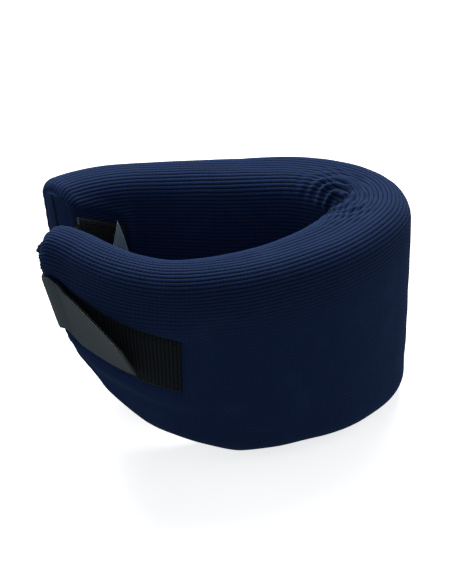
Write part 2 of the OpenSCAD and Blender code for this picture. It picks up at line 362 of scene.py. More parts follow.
def hookFace():
    look = hookLook
    paint = Paint("blackHookFace")
    along, across = paint.cloth()
    rows = across / look["pitch"]
    a = rows.fromMiddle()
    b = (along / look["pitch"] + rows.whole() * 0.5).fromMiddle()
    hooks = (1 - (a ** 2 + b ** 2)).ramp(0, 0.8)
    fuzz = paint.speckle(look["fuzz"])
    colour = paint.blendColours(hooks * (0.4 + fuzz * 0.6), look["ground"], look["tip"])
    return paint.finish(colour, 0.5 + fuzz * 0.3, paint.relief(hooks, look["relief"], 0.9), 0.05)


loopLook = {
    "thread": (0.029, 0.036, 0.043, 1),
    "ground": (0.0055, 0.0065, 0.008, 1),
    "dust": (0.045, 0.055, 0.06, 1),
    "rib": 0.0013, "pick": 0.0010, "fuzz": 0.0005, "lint": 0.004, "relief": 0.00035,
}


def loopFace():
    look = loopLook
    paint = Paint("blackLoopPatch")
    along, across = paint.cloth()
    ribs = (along / look["rib"]).fromMiddle()
    picks = (across / look["pick"] + along / look["rib"] * 0.5).fromMiddle()
    weave = (1 - ribs).ramp(0.1, 0.9) * (0.55 + (1 - picks) * 0.45)
    fuzz = paint.speckle(look["fuzz"])
    lint = paint.speckle(look["lint"], 4.0)
    colour = paint.blendColours(weave * (0.6 + fuzz * 0.5), look["ground"], look["thread"])
    colour = paint.blendColours(lint.ramp(0.6, 0.85) * 0.25, colour, look["dust"])
    normal = paint.relief(weave + fuzz * 0.5, look["relief"], 0.85)
    return paint.finish(colour, 0.8 + fuzz * 0.15, normal, 0.12, (0.7, 0.8, 0.9, 1), 0.2)


threadLook = {
    "light": (0.016, 0.017, 0.019, 1), "dark": (0.004, 0.004, 0.005, 1),
    "twist": 0.0007, "relief": 0.00012,
}


def sewingThread():
    look = threadLook
    paint = Paint("blackThread")
    along, across = paint.cloth()
    twist = (along / look["twist"] + across * 2).fromMiddle()
    colour = paint.blendColours(twist.ramp(0.3, 1), look["light"], look["dark"])
    normal = paint.relief(1 - twist, look["relief"], 0.9)
    return paint.finish(colour, 0.5 + twist * 0.2, normal, 0.1)


floorLook = {
    "light": (0.93, 0.93, 0.93, 1), "dark": (0.9, 0.9, 0.9, 1), "glow": 0.75,
    "stain": 0.4, "relief": 0.0001, "radius": 6.0, "below": 0.0006,
}


def paleFloor():
    look = floorLook
    paint = Paint("paleFloor")
    stains = paint.speckle(look["stain"])
    colour = paint.blendColours(stains, look["light"], look["dark"])
    paint.finish(colour, 0.85, paint.relief(stains, look["relief"], 0.2), gloss=0.1)
    paint.shader.inputs["Emission Color"].default_value = (1, 1, 1, 1)
    paint.shader.inputs["Emission Strength"].default_value = look["glow"]
    return paint.material


knitMaterial = ribbedKnit()
seamMaterial = gatheredSeam()
foamMaterial = openFoam()
tapeMaterial = wovenTape("greyWovenTape", tapeLook)
litTapeMaterial = wovenTape("greyTapePaintedLit", litTapeLook)
hookMaterial = hookFace()
loopMaterial = loopFace()
threadMaterial = sewingThread()
print("finishes made")


def tubeMesh(points, uvs):
    # create_grid gives a sheet of quads, whose corners go to their places round the tube;
    # its first and last columns meet, and its two ends are filled
    rows, columns = points.shape[:2]
    bm = bmesh.new()
    uvLayer = bm.loops.layers.uv.new("cloth")
    rowLayer = bm.verts.layers.int.new("row")
    columnLayer = bm.verts.layers.int.new("column")
    bmesh.ops.create_grid(bm, x_segments=rows - 1, y_segments=columns - 1, size=0.5)
    places, marks = points.tolist(), uvs.tolist()
    for v in bm.verts:
        i = round((v.co.x + 0.5) * (rows - 1))
        j = round((v.co.y + 0.5) * (columns - 1))
        v[rowLayer], v[columnLayer] = i, j
        v.co = places[i][j]
    for f in bm.faces:
        for loop in f.loops:
            loop[uvLayer].uv = marks[loop.vert[rowLayer]][loop.vert[columnLayer]]
    bmesh.ops.remove_doubles(bm, verts=bm.verts, dist=1e-6)
    rims = [e for e in bm.edges if e.is_boundary and e.verts[0][rowLayer] in (0, rows - 1)]
    bmesh.ops.holes_fill(bm, edges=rims, sides=0)
    return bm, columnLayer


def finishPiece(name, bm, materials, normals=None, attributes=None):
    mesh = bpy.data.meshes.new(name)
    rowLayer = bm.verts.layers.int.get("row")
    columnLayer = bm.verts.layers.int.get("column")
    bmesh.ops.recalc_face_normals(bm, faces=bm.faces)
    bm.to_mesh(mesh)
    where = None
    if rowLayer:
        where = np.array([(v[rowLayer], v[columnLayer]) for v in bm.verts])
    bm.free()
    for layerName in ("row", "column"):
        if layerName in mesh.attributes:
            mesh.attributes.remove(mesh.attributes[layerName])
    for material in materials:
        mesh.materials.append(material)
    mesh.shade_smooth()
    for key, values in (attributes or {}).items():
        made = mesh.attributes.new(key, "FLOAT", "POINT")
        made.data.foreach_set("value", values[where[:, 0], where[:, 1]].astype(np.float32))
    if normals is not None:
        mesh.normals_split_custom_set_from_vertices(normals[where[:, 0], where[:, 1]].tolist())
    piece = bpy.data.objects.new(name, mesh)
    bpy.context.scene.collection.objects.link(piece)
    return piece


def surfaceNormals(points, closed):
    down = np.gradient(points, axis=0)
    if closed:
        ring = points[:, :-1]
        side = np.roll(ring, -1, axis=1) - np.roll(ring, 1, axis=1)
        side = np.concatenate([side, side[:, :1]], axis=1)
    else:
        side = np.gradient(points, axis=1)
    normal = np.cross(down, side)
    return normal / np.maximum(np.linalg.norm(normal, axis=-1, keepdims=True), 1e-12)


# The knit cover is one tube in three lengths; the middle one runs past the fold by cut.
cover = {
    "ribs": 128, "pointsPerRib": 4, "pitch": 0.00190, "mostCrowding": 1.5,
    "step": 0.0013, "foldStep": 0.0006, "tipSteps": 10, "cut": 0.014, "blendReach": 0.0085,
    "ribDepth": 0.00042, "ribRoundness": 0.6,
    # how far the cloth can sink before it meets the foam, and how much less that is at the ends
    "deepest": 0.00095, "endLoss": 0.35, "endLossReach": 0.006,
    "unevenness": 0.00045, "unevenSize": 0.034, "lumps": 0.0002, "lumpSize": 0.012,
    "gatherDepth": 0.00028, "gatherReach": 0.006, "gatherRibs": 3.6, "farGather": 0.3,
    # the near end is drawn out to a soft point, and its foot and the far end flare a little
    "flare": 0.0040, "flareReach": 0.013, "point": 0.0974, "pointSize": 0.006, "farFlare": 0.0022,
    "footFlare": 0.0042, "foot": 0.050, "footSize": 0.014,
    # the near end's top edge perks up
    "perk": 0.0046, "perkReach": 0.058, "perkLow": 0.062, "perkHigh": 0.100,
}

# How much of the rib's depth is lost, and between which distances from the top edge,
# down the outer face and the inner face; under is what comes back at the bottom edge.
ribFade = {
    "outerLoss": 0.80, "outerStart": 0.016, "outerEnd": 0.046,
    "innerLoss": 0.35, "innerStart": 0.02, "innerEnd": 0.05,
    "under": 0.5, "underStart": 0.012, "underEnd": 0.034,
}


def tipRows(radius):
    angles = np.linspace(math.pi / 2, 0, cover["tipSteps"], endpoint=False)
    return [(radius - radius * math.sin(a), radius - radius * math.cos(a), 1.0) for a in angles]


def capRows(radius):
    # the end gathers into a line, just past the tip
    return [(-0.0012, radius, 0.10), (-0.0011, radius, 0.45), (-0.0006, radius, 0.8)]


def coverRows():
    nearStart, nearEnd = collar["nearTip"], collar["nearLength"] - cover["cut"]
    farStart = collar["nearLength"] + collar["foldLength"] + cover["cut"]
    farEnd = totalLength - collar["farTip"]
    rows = capRows(collar["nearTip"]) + tipRows(collar["nearTip"])
    count = round((nearEnd - nearStart) / cover["step"])
    rows += [(s, 0.0, 1.0) for s in np.linspace(nearStart, nearEnd, count, endpoint=False)]
    firstCut = len(rows)
    count = round((farStart - nearEnd) / cover["foldStep"])
    rows += [(s, 0.0, 1.0) for s in np.linspace(nearEnd, farStart, count, endpoint=False)]
    secondCut = len(rows)
    count = round((farEnd - farStart) / cover["step"])
    rows += [(s, 0.0, 1.0) for s in np.linspace(farStart, farEnd, count, endpoint=False)]
    farTip = tipRows(collar["farTip"])[::-1] + capRows(collar["farTip"])[::-1]
    rows += [(farEnd, 0.0, 1.0)] + [(totalLength - s, inset, pinch) for s, inset, pinch in farTip]
    return np.array(rows), firstCut, secondCut


def sectionAt(s, inset, pinch, v):
    # the rounded section's outline, v from -0.5 to 0.5 round it, 0 at its top
    outer = thicknessAt(s) / 2 - inset
    inner = outer - squeezeAt(s)
    top, bottom = topAt(s) - inset, bottomAt(s) + inset
    r = np.maximum(0.0003, np.minimum(collar["edgeRadius"] - inset, inner - 0.0002))
    flat = (outer + inner) / 2 - r
    tall = top - bottom - 2 * r
    half = 2 * flat + math.pi * r + tall
    # ribs keep their pitch over the top and crowd together under the collar
    crowd = np.clip(cover["ribs"] * cover["pitch"] / (2 * half), 1.0, cover["mostCrowding"])
    q = 2 * half * (crowd * np.abs(v) - (crowd - 1) * 2 * v ** 2)
    quarter = math.pi / 2 * r
    sideStart = flat + quarter
    sideEnd = sideStart + tall
    topTurn = np.clip((q - flat) / r, 0, math.pi / 2)
    bottomTurn = np.clip((q - sideEnd) / r, 0, math.pi / 2)
    upperOut = np.minimum(q, flat) + r * np.sin(topTurn)
    lowerOut = flat + r * np.cos(bottomTurn) - np.maximum(0, q - sideEnd - quarter)
    upperZ = top - r + r * np.cos(topTurn) - np.clip(q - sideStart, 0, None)
    lowerZ = bottom + r - r * np.sin(bottomTurn)
    out = np.where(q < sideEnd, upperOut, lowerOut)
    z = np.where(q < sideEnd, upperZ, lowerZ)
    o = (outer - inner) / 2 + np.sign(v) * out
    return o * pinch, z, q, half


rowPlan, nearCut, farCut = coverRows()
columnCount = cover["ribs"] * cover["pointsPerRib"] + 1
rowS, rowInset, rowPinch = (rowPlan[:, k:k + 1] for k in range(3))
roundV = np.linspace(-0.5, 0.5, columnCount)[None, :]
outlineO, outlineZ, fromTop, halfRound = sectionAt(rowS, rowInset, rowPinch, roundV)
gridS = np.broadcast_to(rowS, outlineO.shape)
ribPlace = np.broadcast_to((roundV + 0.5) * cover["ribs"], outlineO.shape)

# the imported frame's own origin, found from where its cover pieces are
originShift = np.zeros(3)
bare = placeAt(gridS, outlineO, outlineZ)
boxes = [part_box(name) for name in ("knit_cover_near", "knit_cover_far")]
for axis in (0, 1):
    cadMiddle = (min(b[0][axis] for b in boxes) + max(b[1][axis] for b in boxes)) / 2
    originShift[axis] = cadMiddle - (bare[..., axis].min() + bare[..., axis].max()) / 2


def flareAt(z):
    # how far the near end is drawn out at each height
    lobe = smooth(z, cover["point"] - 0.017, cover["point"] - 0.003)
    lobe = 0.55 * lobe * (1 - 0.5 * smooth(z, cover["point"], cover["point"] + 0.012))
    spread = cover["footFlare"] * hill(z - cover["foot"], cover["footSize"])
    return cover["flare"] * (lobe + 0.5 * hill(z - cover["point"], cover["pointSize"])) + spread


def perkAt(s, z):
    # how far the near end's top edge perks up
    share = (1 - smooth(s, 0, cover["perkReach"])) * smooth(z, cover["perkLow"], cover["perkHigh"])
    return cover["perk"] * share


flared = flareAt(outlineZ) * (1 - smooth(gridS, 0, cover["flareReach"]))
flared = flared - cover["farFlare"] * (1 - smooth(totalLength - gridS, 0, cover["flareReach"]))
base = placeAt(gridS - flared, outlineO, outlineZ + perkAt(gridS, outlineZ))
print("collar laid out, shift", originShift.round(5).tolist())

patch = {
    "start": 0.011, "length": 0.049, "width": 0.030, "thickness": 0.0013, "lift": 0.005,
    "sink": 0.0008, "bulge": 0.0019, "bulgePlace": 0.0055, "bulgeReach": 0.0048,
    "edge": 0.0015, "edgeSink": 0.0006, "rows": 70, "columns": 44,
}
tape = {
    "width": 0.030, "back": 0.0009, "hooks": 0.0009, "sewn": 0.030, "past": 0.001, "tail": 0.036,
    "layerGap": 0.0004, "threadGap": 0.0001, "thread": 0.0005, "strapGap": 0.0004,
    "rise": 0.006, "drop": 0.0040, "dip": 0.0035, "snug": 0.74,
    "tailLean": 28, "tailLeanPower": 2.4, "tailCurl": 0.0012, "peelShare": 0.6,
    "sewnSink": 0.0005, "sewnBulge": 0.0007, "sewnBulgePlace": 0.0035, "sewnBulgeReach": 0.003,
    "ripple": 0.00012, "rippleSize": 0.0041, "cutShare": 0.55, "hooksAfter": 0.006,
    "step": 0.0012, "columns": 19, "sewnRows": 44,
}
tapeThickness = tape["back"] + tape["hooks"]
wrapGap = tape["layerGap"] + patch["thickness"] + tape["threadGap"] + tape["thread"] + tape["strapGap"]


def tapeLineAt(s):
    ends = np.where(isNear(s), s, totalLength - s)
    share = np.maximum(0, 1 - ends / (patch["start"] + patch["length"]))
    return (topAt(s) + bottomAt(s)) / 2 + patch["lift"] * share


def fromBand(s, z, start, end, middle, width):
    # how far a point is outside a band sewn on a face, negative inside it
    dx = np.maximum(start - s, s - end)
    dz = np.abs(z - middle) - width / 2
    outside = np.hypot(np.maximum(dx, 0), np.maximum(dz, 0))
    return np.where((dx > 0) | (dz > 0), outside, np.maximum(dx, dz))


# The puckers lie in rings round the fold's centre, on the cover's top.
pucker = {
    "reach": 0.0145, "rings": 0.0046, "height": 0.0015, "lumps": 0.0014, "lumpSize": 0.0052,
    "wobble": 2.2, "wobbleSize": 0.009, "limit": 0.035, "topDepth": 0.013,
    # a small knob stands up on each side of the crease: its place, width and share of the height
    "knob": 0.0022, "knobReach": 0.0042, "knobs": [(-0.006, 0.0035, 1), (0.0055, 0.003, 0.55)],
}


def ribStrength():
    outside = roundV > 0
    toBottom = halfRound - fromTop
    face = 1 - ribFade["outerLoss"] * smooth(fromTop, ribFade["outerStart"], ribFade["outerEnd"])
    under = ribFade["under"] * (1 - smooth(toBottom, ribFade["underStart"], ribFade["underEnd"]))
    outer = np.maximum(face, under)
    inner = 1 - ribFade["innerLoss"] * smooth(fromTop, ribFade["innerStart"], ribFade["innerEnd"])
    ends = smooth(np.minimum(gridS, totalLength - gridS), -0.001, 0.004)
    return np.where(outside, outer, inner) * (0.35 + 0.65 * ends)


def puckerField():
    x, y, heading = poseAt(foldPlace)
    centre = np.array([x - math.sin(heading) * foldRadius, y + math.cos(heading) * foldRadius])
    centre = centre + originShift[:2]
    fromCentre = np.hypot(base[..., 0] - centre[0], base[..., 1] - centre[1])
    onTop = smooth(outlineZ, topAt(gridS) - pucker["topDepth"], topAt(gridS) - 0.002)
    close = (fromCentre < pucker["limit"]) & (onTop > 0)
    wobble, lumps = np.zeros(fromCentre.shape), np.zeros(fromCentre.shape)
    wobble[close] = cloudAt(base[close], pucker["wobbleSize"], 3.1)
    lumps[close] = cloudAt(base[close], pucker["lumpSize"], 11.7)
    near = hill(fromCentre, pucker["reach"]) * smooth(fromCentre, 0.0012, 0.004) * onTop
    rings = np.cos(2 * math.pi * fromCentre / pucker["rings"] + pucker["wobble"] * wobble)
    along = gridS - foldPlace
    knobs = pucker["knob"] * sum(share * hill(along - at, width) for at, width, share in pucker["knobs"])
    knobs = knobs * hill(fromCentre - 0.004, pucker["knobReach"]) * onTop
    return near * (pucker["height"] * rings + pucker["lumps"] * lumps) + knobs


def spreadOut(coarse, rows, columns, rowStep, columnStep):
    # a coarse grid of values, filled in to a fine one
    lastRow, lastColumn = coarse.shape[0] - 1, coarse.shape[1] - 1
    rowAt = np.minimum(np.arange(rows) / rowStep, lastRow - 0.001)[:, None]
    columnAt = np.minimum(np.arange(columns) / columnStep, lastColumn - 0.001)[None, :]
    i, j = rowAt.astype(int), columnAt.astype(int)
    down, right = rowAt - i, columnAt - j
    above = (1 - right) * coarse[i, j] + right * coarse[i, j + 1]
    below = (1 - right) * coarse[i + 1, j] + right * coarse[i + 1, j + 1]
    return (1 - down) * above + down * below


def unevenFoam():
    rowStep, columnStep = 4, 8
    coarse = base[::rowStep, ::columnStep]
    rough = cloudAt(coarse, cover["unevenSize"], 0.4) * cover["unevenness"]
    rough = rough + cloudAt(coarse, cover["lumpSize"], 5.3) * cover["lumps"]
    rough = spreadOut(rough, base.shape[0], base.shape[1], rowStep, columnStep)
    return rough * smooth(np.minimum(roundV + 0.5, 0.5 - roundV), 0, 0.02)


def endGathers():
    ends = np.minimum(gridS, totalLength - gridS)
    waves = np.cos(2 * math.pi * ribPlace / cover["gatherRibs"])
    gathers = cover["gatherDepth"] * waves * hill(ends, cover["gatherReach"])
    return gathers * smooth(rowPinch, 0.3, 1) * np.where(isNear(gridS), 1, cover["farGather"])


def dentUnder(away, sink, bulge, bulgePlace, bulgeReach):
    # a band presses the cover down, and the cover swells up just outside the band's edge
    return bulge * hill(away - bulgePlace, bulgeReach) - sink * (1 - smooth(away, -0.0005, 0.002))


def sewnDents():
    # on the near half's outer face under the patch, and inside the far half under the tape
    outside = roundV > 0
    line = tapeLineAt(gridS)
    patchEnd = patch["start"] + patch["length"]
    away = fromBand(gridS, outlineZ, patch["start"], patchEnd, line, patch["width"])
    dent = dentUnder(away, patch["sink"], patch["bulge"], patch["bulgePlace"], patch["bulgeReach"])
    sewnStart = totalLength - tape["sewn"]
    away = fromBand(gridS, outlineZ, sewnStart, totalLength, line + tape["rise"], tape["width"])
    sewn = dentUnder(away, tape["sewnSink"], tape["sewnBulge"], tape["sewnBulgePlace"],
                     tape["sewnBulgeReach"])
    return np.where(outside & isNear(gridS), dent, 0) + np.where(~outside & ~isNear(gridS), sewn, 0)


def coverRelief(strength):
    inRib = ribPlace - np.floor(ribPlace)
    crest = np.abs(np.sin(math.pi * inRib)) ** cover["ribRoundness"]
    ribs = cover["ribDepth"] * strength * (crest - 1)
    return ribs + unevenFoam() + endGathers() + sewnDents() + puckerField()


strength = ribStrength()
relief = coverRelief(strength)
baseNormals = surfaceNormals(base, True)
# a point half-way along the near half's outer face tells which way is out
spot = nearCut // 2, int(columnCount * 0.75)
ahead = placeAt(gridS[spot], outlineO[spot] + 0.01, outlineZ[spot])
if (ahead - base[spot]) @ baseNormals[spot] < 0:
    baseNormals = -baseNormals
# the foam inside stops the cloth from sinking further than this
fromEnd = np.minimum(gridS, totalLength - gridS)
floorDepth = cover["deepest"] * (1 - cover["endLoss"] * hill(fromEnd, cover["endLossReach"]))
sunk = np.minimum(relief, 0) / floorDepth
relief = np.maximum(relief, 0) + floorDepth * sunk / (1 + np.abs(sunk) ** 3) ** (1 / 3)
relief = relief * smooth(rowPinch, 0.05, 0.6)
coverPoints = base + baseNormals * relief[..., None]
coverPoints[:, -1] = coverPoints[:, 0]
coverNormals = surfaceNormals(coverPoints, True)
coverNormals *= np.sign((coverNormals * baseNormals).sum(-1, keepdims=True).mean())
coverUvs = np.stack([gridS, ribPlace], axis=-1)


def coverPiece(name, first, last):
    rows = slice(first, last + 1)
    bm, _ = tubeMesh(coverPoints[rows], coverUvs[rows])
    # the rib depth goes with the piece, and sets the knit's painted shade in the grooves
    piece = finishPiece(name, bm, [knitMaterial], coverNormals[rows], {"ribShadeDepth": strength[rows]})
    return piece


lastRow = len(rowPlan) - 1
coverNear = coverPiece("knitCoverNear", 0, nearCut)
coverFold = coverPiece("knitCoverFold", nearCut, farCut)
coverFar = coverPiece("knitCoverFar", farCut, lastRow)
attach(coverNear, "near_half")
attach(coverFar, "far_half")
foldPose = poseAt(foldPlace)
foldAhead = np.array([math.cos(foldPose[2]), math.sin(foldPose[2]), 0])
foldMiddle = placeAt(foldPlace, 0, collar["height"] / 2)
blendStart = foldMiddle - foldAhead * cover["blendReach"]
blendEnd = foldMiddle + foldAhead * cover["blendReach"]
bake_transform(coverFold)
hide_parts("knit_cover_near")
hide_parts("knit_cover_far")
print("cover made,", sum(len(p.data.polygons) for p in (coverNear, coverFold, coverFar)), "faces")


# Each end's gathered seam is a twisted cord, and the near one swells to a nub at its point.
endSeam = {
    "radius": 0.0010, "off": -0.0002, "turns": 0.0021, "swell": 0.22, "sides": 14, "rows": 150,
    "nub": 0.0018, "nubReach": 0.0036, "nubWidening": 900,
}


def seamPiece(name, s, inset, side, nub):
    z0 = float(bottomAt(s)) + inset
    z1 = float(topAt(s)) - inset
    t = np.linspace(0, 1, endSeam["rows"])[:, None]
    a = np.linspace(0, 2 * math.pi, endSeam["sides"] + 1)[None, :]
    z = z0 + (z1 - z0) * t
    taper = np.sqrt(np.clip(1 - (2 * t - 1) ** 24, 0.02, 1))
    twist = 1 + endSeam["swell"] * np.cos(2 * math.pi * z / endSeam["turns"] + a)
    bump = nub * hill(z - cover["point"], endSeam["nubReach"])
    radius = endSeam["radius"] * taper * twist * (1 + endSeam["nubWidening"] * bump)
    drawn = flareAt(z) if side < 0 else cover["farFlare"]
    place = s + side * (endSeam["radius"] + endSeam["off"] + bump * 0.8 + drawn)
    points = placeAt(place + radius * np.cos(a), radius * np.sin(a), z + perkAt(s, z) + 0 * a)
    uvs = np.stack([z + 0 * a, a / (2 * math.pi) + 0 * z], axis=-1)
    bm, _ = tubeMesh(points, uvs)
    piece = finishPiece(name, bm, [seamMaterial])
    return piece


nearSeam = seamPiece("nearEndSeam", 0.0, collar["nearTip"], -1, endSeam["nub"])
farSeam = seamPiece("farEndSeam", totalLength, collar["farTip"], 1, 0.0)
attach(nearSeam, "near_half")
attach(farSeam, "far_half")
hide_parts("near_end_seam")
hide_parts("far_end_seam")
print("end seams made")


probe = 0.001  # a step outwards that is long enough to find a direction with


def outwardAt(s, o, z):
    return (placeAt(s, o + probe, z) - placeAt(s, o, z)) / probe


def tapeMesh(name, middle, outwards, lengths, widths, low, high, materials):
    # a flat tube of woven band, between low and high out from the middle sheet, with
    # softened selvedges; a second material goes on its inner face
    columns = middle.shape[1]
    selvedge = 1 - 0.35 * np.abs(np.linspace(-1, 1, columns)[None, :, None]) ** 18
    centre = (low + high) / 2
    half = (high - low) / 2
    outer = middle + outwards * (centre + half * selvedge)
    inner = (middle + outwards * (centre - half * selvedge))[:, ::-1]
    uvs = np.stack(np.broadcast_arrays(lengths, widths), axis=-1)
    ringPoints = np.concatenate([outer, inner, outer[:, :1]], axis=1)
    ringUvs = np.concatenate([uvs, uvs[:, ::-1], uvs[:, :1]], axis=1)
    bm, columnLayer = tubeMesh(ringPoints, ringUvs)
    if len(materials) > 1:
        for f in bm.faces:
            onInner = min(v[columnLayer] for v in f.verts) >= columns - 1
            f.material_index = int(onInner and len(f.verts) == 4)
    return finishPiece(name, bm, materials)


def patchPiece():
    start, end = patch["start"], patch["start"] + patch["length"]
    halfLength = patch["length"] / 2
    s = np.linspace(start, end, patch["rows"])[:, None]
    w = np.linspace(-0.5, 0.5, patch["columns"])[None, :]
    corner = smooth(np.abs(w), 0.42, 0.5) * smooth(np.abs(s - s.mean()), halfLength - 0.002, halfLength)
    z = tapeLineAt(s) + w * patch["width"] * (1 - 0.02 * corner)
    out = thicknessAt(s) / 2 + tape["layerGap"] - 0.0002 + 0 * z
    away = fromBand(s, z, start, end, tapeLineAt(s), patch["width"])
    out = out - patch["edgeSink"] * hill(away, patch["edge"])
    piece = tapeMesh("loopPatch", placeAt(s, out, z), outwardAt(s, out, z), s, w * patch["width"] + 0.5,
                     -0.0003, patch["thickness"] - 0.0005, [loopMaterial])
    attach(piece, "near_half")
    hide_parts("loop_patch")


patchPiece()
print("loop patch made")


# The hook tape is sewn inside the far end. It crosses the gap as a straight bridge, wraps
# round the near end's tip, and its tail lies along the near half, leaning away at its end.
anchorS = totalLength + tape["past"]
anchorO = float(thicknessAt(anchorS)) / 2 + tape["layerGap"] + tapeThickness / 2
wrapRadius = float(thicknessAt(collar["nearTip"])) / 2 + wrapGap + tapeThickness / 2
tapeZ = float(tapeLineAt(collar["nearTip"])) + tape["rise"]
wrapHeading = float(poseAt(collar["nearTip"])[2])
wrapCentre = placeAt(collar["nearTip"], 0, tapeZ)[:2]
bridgeStart = placeAt(anchorS, -anchorO, tapeZ)[:2]
toCentre = wrapCentre - bridgeStart
bridgeHeading = math.atan2(toCentre[1], toCentre[0]) - math.asin(wrapRadius / np.hypot(*toCentre))
bridgeLength = math.sqrt(toCentre @ toCentre - wrapRadius ** 2)
wrapTurn = wrapHeading - bridgeHeading
wrapLength = wrapTurn * wrapRadius


def ahead2d(a):
    return np.array([math.cos(a), math.sin(a)])


def rightOf(a):
    return np.array([math.sin(a), -math.cos(a)])


# how far the tape moves in plan for each metre up, where it is sewn and where it wraps
anchorShear = ahead2d(float(poseAt(anchorS)[2])) * collar["endSlant"]
anchorShear = anchorShear * (1 + tape["past"] / collar["slantReach"])
leanThere = float(reachAt(collar["nearTip"])) ** collar["leanPower"]
wrapShear = rightOf(wrapHeading) * collar["nearLean"] / collar["height"] * leanThere
slantThere = collar["endSlant"] * (1 - collar["nearTip"] / collar["slantReach"])
wrapShear = wrapShear - ahead2d(wrapHeading) * slantThere
across = np.linspace(-0.5, 0.5, tape["columns"])


def loopRow(distance):
    z = across[:, None] * tape["width"]
    if distance < bridgeLength:
        share = max(0.0, distance / bridgeLength)
        p = bridgeStart + ahead2d(bridgeHeading) * distance
        heading, shear = bridgeHeading, anchorShear * (1 - share) + wrapShear * share
    else:
        heading = bridgeHeading + (distance - bridgeLength) / wrapRadius
        p, shear = wrapCentre + rightOf(heading) * wrapRadius, wrapShear
    # the tape lies snug against the end that it goes round, and hangs a little below its line
    beyond = min(0.0, (p - wrapCentre) @ ahead2d(wrapHeading))
    snugness = (1 - tape["snug"]) * smooth(distance, 0.3 * bridgeLength, bridgeLength)
    p = p - ahead2d(wrapHeading) * beyond * snugness
    z = z - tape["drop"] * (1 - smooth(distance, bridgeLength, bridgeLength + wrapLength))
    z = z - tape["dip"] * hill(distance - bridgeLength - 0.4 * wrapLength, 0.35 * wrapLength)
    out = np.tile(np.append(rightOf(heading), 0.0), (len(across), 1))
    return np.concatenate([p + shear * z, tapeZ + z], axis=1), out


def tailRow(distance):
    s = collar["nearTip"] + distance - bridgeLength - wrapLength
    done = (s - collar["nearTip"]) / tape["tail"]
    tilt = math.radians(tape["tailLean"]) * done ** tape["tailLeanPower"]
    footO = float(thicknessAt(s)) / 2 + wrapGap + tapeThickness / 2
    footZ = float(tapeLineAt(s)) + tape["rise"] - tape["width"] / 2
    up = (across + 0.5) * tape["width"]
    curl = tape["tailCurl"] * done ** 3 * (across + 0.5) ** 2
    o = footO + up * math.sin(tilt) + curl
    z = footZ + up * math.cos(tilt)
    here = placeAt(s, o, z)
    there = placeAt(s, o + probe * math.cos(tilt), z - probe * math.sin(tilt))
    return here, (there - here) / probe


def tapeRow(distance):
    # a row of places across the tape and the way out of it, at a distance from the far end
    if distance < bridgeLength + wrapLength:
        return loopRow(distance)
    return tailRow(distance)


def tapeLengthOf(start, end):
    distances = np.linspace(start, end, max(3, round((end - start) / tape["step"])))
    rows = [tapeRow(d) for d in distances]
    ripple = tape["ripple"] * np.sin(distances / tape["rippleSize"])[:, None, None]
    outwards = np.array([r[1] for r in rows])
    middle = np.array([r[0] for r in rows]) + outwards * ripple
    return middle, outwards, distances[:, None], across[None, :] * tape["width"] + 0.5


def tapePiece(name, start, end, low, high, materials):
    piece = tapeMesh(name, *tapeLengthOf(start, end), low, high, materials)
    return piece


halfTape = tapeThickness / 2
hair = 0.00001  # keeps the grey back and the hook face apart
peelAt = bridgeLength + wrapLength * tape["peelShare"]
tailStart = bridgeLength + wrapLength + tape["hooksAfter"]
tapeEnd = bridgeLength + wrapLength + tape["tail"]
bridgeCut = bridgeLength * tape["cutShare"]
bothFaces = [tapeMaterial, hookMaterial]
bridge = tapePiece("tapeBridge", 0.0, bridgeCut, -halfTape, halfTape, bothFaces)
bend = tapePiece("tapeBend", bridgeCut, tailStart, -halfTape, halfTape, bothFaces)
tail = tapePiece("tapeEndBack", tailStart, tapeEnd, hair, halfTape, [tapeMaterial])
hooks = tapePiece("tapeEndHooks", tailStart, tapeEnd, -halfTape, -hair, [hookMaterial])


def tapePoint(distance):
    return tuple(tapeRow(distance)[0][len(across) // 2])


tapePoint(0.001)
tapePoint(0.018)
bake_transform(bridge)
tapePoint(peelAt - 0.019)
tapePoint(peelAt + 0.013)
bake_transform(bend)
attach(tail, "tape_end")
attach(hooks, "tape_end")
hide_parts("strap_bridge")
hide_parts("closure_strap")
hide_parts("hook_field")


def sewnTape():
    s = np.linspace(anchorS - tape["sewn"], anchorS, tape["sewnRows"])[:, None]
    z = tapeLineAt(s) + tape["rise"] - tape["drop"] + across[None, :] * tape["width"]
    out = -(thicknessAt(s) / 2 + tape["layerGap"] + tapeThickness / 2) + 0 * z
    widths = across[None, :] * tape["width"] + 0.5
    piece = tapeMesh("tapeSewnEnd", placeAt(s, out, z), outwardAt(s, out, z), s, widths,
                     -halfTape, halfTape, bothFaces)
    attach(piece, "far_half")
    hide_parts("strap_anchor")


sewnTape()

# The sewn end's loose corner is folded back, and is coloured as the grey tape painted lighter: painted light.
corner = {
    "apex": 0.0232, "apexHeight": 0.0930, "width": 0.0238, "skew": 0.0035, "drop": 0.0275,
    "stand": 0.0036, "gap": 0.0006, "curl": 0.0012, "thickness": 0.0008, "rows": 26, "columns": 14,
}


